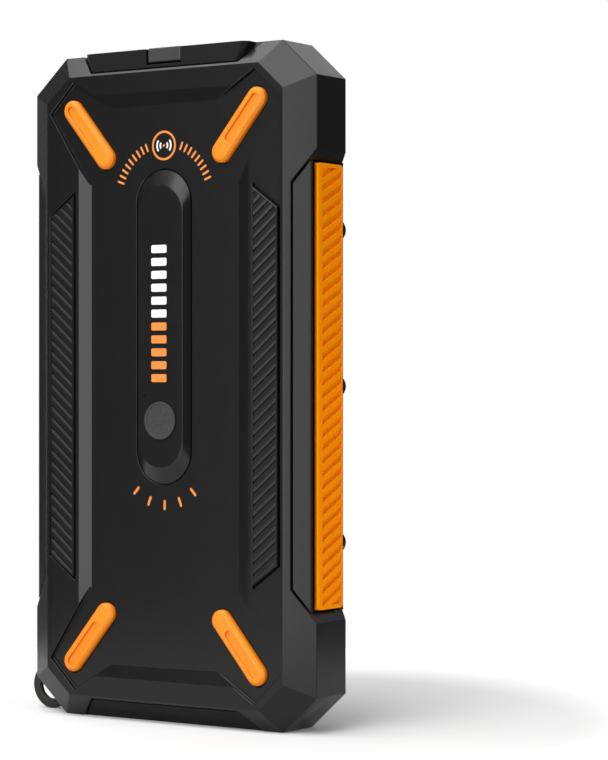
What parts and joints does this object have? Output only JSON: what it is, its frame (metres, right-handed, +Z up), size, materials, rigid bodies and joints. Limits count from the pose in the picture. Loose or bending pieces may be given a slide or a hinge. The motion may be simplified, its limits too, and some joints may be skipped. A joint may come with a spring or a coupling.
{
  "type": "solar phone charger",
  "caption": "Rugged pocket power bank with a solar face, a wireless charging pad, ribbed side grips, a push button, a hinged port cover and a lanyard loop.",
  "frame": {"origin": "centre of the flat bottom end, where the closed port cover is flush with it", "axes": "+Z up the long side to the power button, -Y out of the wireless charging face, +Y out of the solar face, +X to the right when the charging face is seen from the front"},
  "size_m": [0.0827, 0.0199, 0.1503],
  "materials": {
    "shell_plastic": "black moulded plastic, fine matt texture",
    "rail_plastic": "dark grey moulded plastic, fine matt texture",
    "accent_orange": "orange rubber, smooth satin",
    "strip_orange": "bright orange rubber with moulded diagonal ribs",
    "grip_rubber": "black rubber with moulded diagonal ribs",
    "pad_plastic": "black plastic, satin",
    "badge_grey": "grey plastic, satin",
    "black_rubber": "black rubber, matt",
    "button_plastic": "dark grey plastic, satin",
    "loop_rubber": "brown-black rubber, matt",
    "window_plastic": "smoked grey plastic, lit from behind by five small lamps",
    "solar_glass": "clear flat glass over dark cells",
    "solar_silicon": "dark silicon with fine silver lines",
    "panel_black": "black backing sheet of the solar panel",
    "board_green": "green circuit board",
    "screw_steel": "black-zinc steel, satin",
    "socket_steel": "bright steel",
    "cell_foil": "aluminium laminate foil",
    "tray_plastic": "black plastic",
    "coil_copper": "enamelled copper wire",
    "ferrite": "sintered ferrite sheet",
    "ribbon_film": "amber polyimide film"
  },
  "bodies": {
    "case": {"front_shell": "shell_plastic", "back_shell": "shell_plastic", "side_rail_right": "rail_plastic", "side_rail_left": "rail_plastic", "accent_bar_top_right": "accent_orange", "accent_bar_top_left": "accent_orange", "accent_bar_bottom_right": "accent_orange", "accent_bar_bottom_left": "accent_orange", "side_strip_right": "strip_orange", "side_strip_left": "strip_orange", "grip_pad_right": "grip_rubber", "grip_pad_left": "grip_rubber", "charging_pad": "pad_plastic", "pad_badge": "badge_grey", "top_end_cap": "black_rubber", "bottom_end_cap": "black_rubber", "seam_gasket": "black_rubber", "lanyard_loop": "loop_rubber", "led_window": "window_plastic", "solar_glass": "solar_glass", "solar_cell_01": "solar_silicon", "solar_cell_02": "solar_silicon", "solar_cell_03": "solar_silicon", "solar_cell_04": "solar_silicon", "solar_cell_05": "solar_silicon", "solar_cell_06": "solar_silicon", "solar_cell_07": "solar_silicon", "solar_cell_08": "solar_silicon", "solar_cell_09": "solar_silicon", "solar_cell_10": "solar_silicon", "solar_cell_11": "solar_silicon", "solar_backing": "panel_black", "main_board": "board_green", "led_board": "board_green", "corner_screw_top_right": "screw_steel", "corner_screw_top_left": "screw_steel", "corner_screw_bottom_right": "screw_steel", "corner_screw_bottom_left": "screw_steel", "side_screw_right_1": "screw_steel", "side_screw_right_2": "screw_steel", "side_screw_right_3": "screw_steel", "side_screw_left_1": "screw_steel", "side_screw_left_2": "screw_steel", "side_screw_left_3": "screw_steel", "usb_a_socket_left": "socket_steel", "usb_a_socket_right": "socket_steel", "usb_c_socket": "socket_steel", "button_switch": "socket_steel", "battery_cell_right": "cell_foil", "battery_cell_left": "cell_foil", "battery_tray": "tray_plastic", "charging_coil": "coil_copper", "ferrite_sheet": "ferrite", "coil_lead": "ribbon_film", "panel_lead": "ribbon_film"},
    "power_button": {"power_button": "button_plastic"},
    "port_cover": {"port_cover": "black_rubber"}
  },
  "joints": [
    {"name": "button_press", "type": "slide", "parent": "case", "child": "power_button", "axis": [0, 0, -1], "range_m": [0, 0.0004], "stiffness_N_per_m": 1000, "springref_m": -0.0002},
    {"name": "port_cover_hinge", "type": "hinge", "parent": "case", "child": "port_cover", "pos_m": [0, 0.0044, 0.0008], "axis": [1, 0, 0], "range_deg": [0, 110]}
  ]
}
